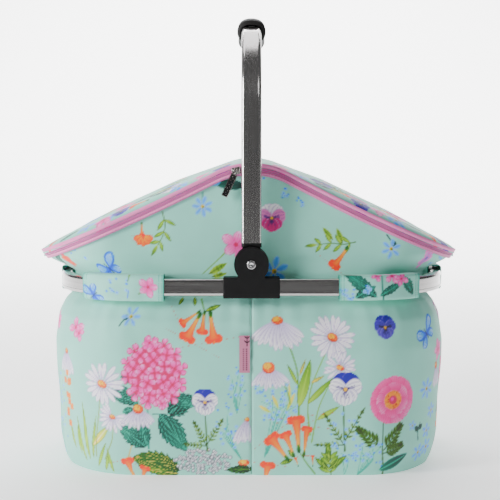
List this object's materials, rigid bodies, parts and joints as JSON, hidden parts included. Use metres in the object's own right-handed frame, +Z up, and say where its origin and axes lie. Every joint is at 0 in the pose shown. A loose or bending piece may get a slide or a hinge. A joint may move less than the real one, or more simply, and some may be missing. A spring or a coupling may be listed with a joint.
{
  "type": "insulated picnic basket",
  "caption": "Insulated carry basket: zipped soft cool bag with a gabled lid, hung in an aluminium ring with a folding arch handle.",
  "frame": {"origin": "on the ground at the middle of the base", "axes": "+Z up, X along the basket's length, -Y towards the front"},
  "size_m": [0.5164, 0.287, 0.53],
  "materials": {
    "aluminium": "satin anodised extrusion, bright rolled edges",
    "steel": "nickel plated rivets and screws",
    "black_plastic": "black moulded nylon, fine matt grain",
    "washer_nylon": "natural nylon",
    "grip_foam": "black closed-cell foam rubber sleeve",
    "printed_fabric": "fine polyester weave, mint ground with an all-over flower print",
    "base_stiffener": "plain extruded sheet",
    "insulating_foam": "white closed-cell foam",
    "foil": "silver coated wipe-clean lining",
    "pink_webbing": "pink woven zip tape and binding",
    "zip_coil_nylon": "pink nylon coil",
    "zip_metal": "nickel plated die casting",
    "zip_enamel": "nickel plated with a black enamel field",
    "label_weave": "dusky pink woven tab with a plain ornament"
  },
  "bodies": {
    "root": {"rail_left": "aluminium", "rail_right": "aluminium", "rail_joiner_front": "aluminium", "rail_joiner_rear": "aluminium", "bracket_screws": "steel", "hinge_bracket_front": "black_plastic", "hinge_bracket_rear": "black_plastic", "pivot_rivet_front": "steel", "pivot_rivet_rear": "steel", "pivot_washers": "washer_nylon", "bag_side_left": "printed_fabric", "bag_side_right": "printed_fabric", "bag_bottom": "printed_fabric", "base_board": "base_stiffener", "foam_base": "insulating_foam", "foam_front": "insulating_foam", "foam_rear": "insulating_foam", "foam_end_left": "insulating_foam", "foam_end_right": "insulating_foam", "foil_lining": "foil", "rim_binding": "pink_webbing", "lid_panel_ridge": "printed_fabric", "lid_lining_ridge": "foil", "zip_tape_ridge": "pink_webbing", "zip_coil_ridge": "zip_coil_nylon", "zip_tape_body": "pink_webbing", "zip_coil_body": "zip_coil_nylon", "loop_front_left": "printed_fabric", "loop_front_right": "printed_fabric", "loop_rear_left": "printed_fabric", "loop_rear_right": "printed_fabric", "loop_end_left": "printed_fabric", "loop_end_right": "printed_fabric", "seam_label": "label_weave"},
    "handle": {"handle_tube": "aluminium", "handle_grip": "grip_foam", "handle_foot_front": "black_plastic", "handle_foot_rear": "black_plastic", "handle_foot_pins": "steel"},
    "lid_left": {"lid_panel_left": "printed_fabric", "lid_lining_left": "foil", "zip_tape_left": "pink_webbing", "zip_coil_left": "zip_coil_nylon"},
    "lid_right": {"lid_panel_right": "printed_fabric", "lid_lining_right": "foil", "zip_tape_right": "pink_webbing", "zip_coil_right": "zip_coil_nylon"},
    "slider_front": {"zip_slider_front": "zip_metal"},
    "slider_rear": {"zip_slider_rear": "zip_metal"},
    "pull_front": {"zip_pull_front": "zip_enamel"},
    "pull_rear": {"zip_pull_rear": "zip_enamel"}
  },
  "joints": [
    {"name": "handle_fold", "type": "hinge", "parent": "root", "child": "handle", "pos_m": [0, 0, 0.2415], "axis": [0, 1, 0], "range_deg": [-90, 90]},
    {"name": "lid_left_hinge", "type": "hinge", "parent": "root", "child": "lid_left", "pos_m": [-0.0115, 0, 0.35629], "axis": [0, 1, 0], "range_deg": [0, 100]},
    {"name": "lid_right_hinge", "type": "hinge", "parent": "root", "child": "lid_right", "pos_m": [0.0115, 0, 0.35629], "axis": [0, -1, 0], "range_deg": [0, 100]},
    {"name": "zip_travel_front", "type": "hinge", "parent": "root", "child": "slider_front", "pos_m": [0, 0, 0.264], "axis": [0, -1, 0], "range_deg": [0, 15]},
    {"name": "zip_travel_rear", "type": "hinge", "parent": "root", "child": "slider_rear", "pos_m": [0, 0, 0.264], "axis": [0, 1, 0], "range_deg": [0, 15]},
    {"name": "pull_lift_front", "type": "hinge", "parent": "slider_front", "child": "pull_front", "pos_m": [-0.01767, -0.1238, 0.34714], "axis": [-0.9063, 0, 0.4226], "range_deg": [0, 90]},
    {"name": "pull_lift_rear", "type": "hinge", "parent": "slider_rear", "child": "pull_rear", "pos_m": [0.01767, 0.1238, 0.34714], "axis": [0.9063, 0, 0.4226], "range_deg": [0, 90]}
  ]
}
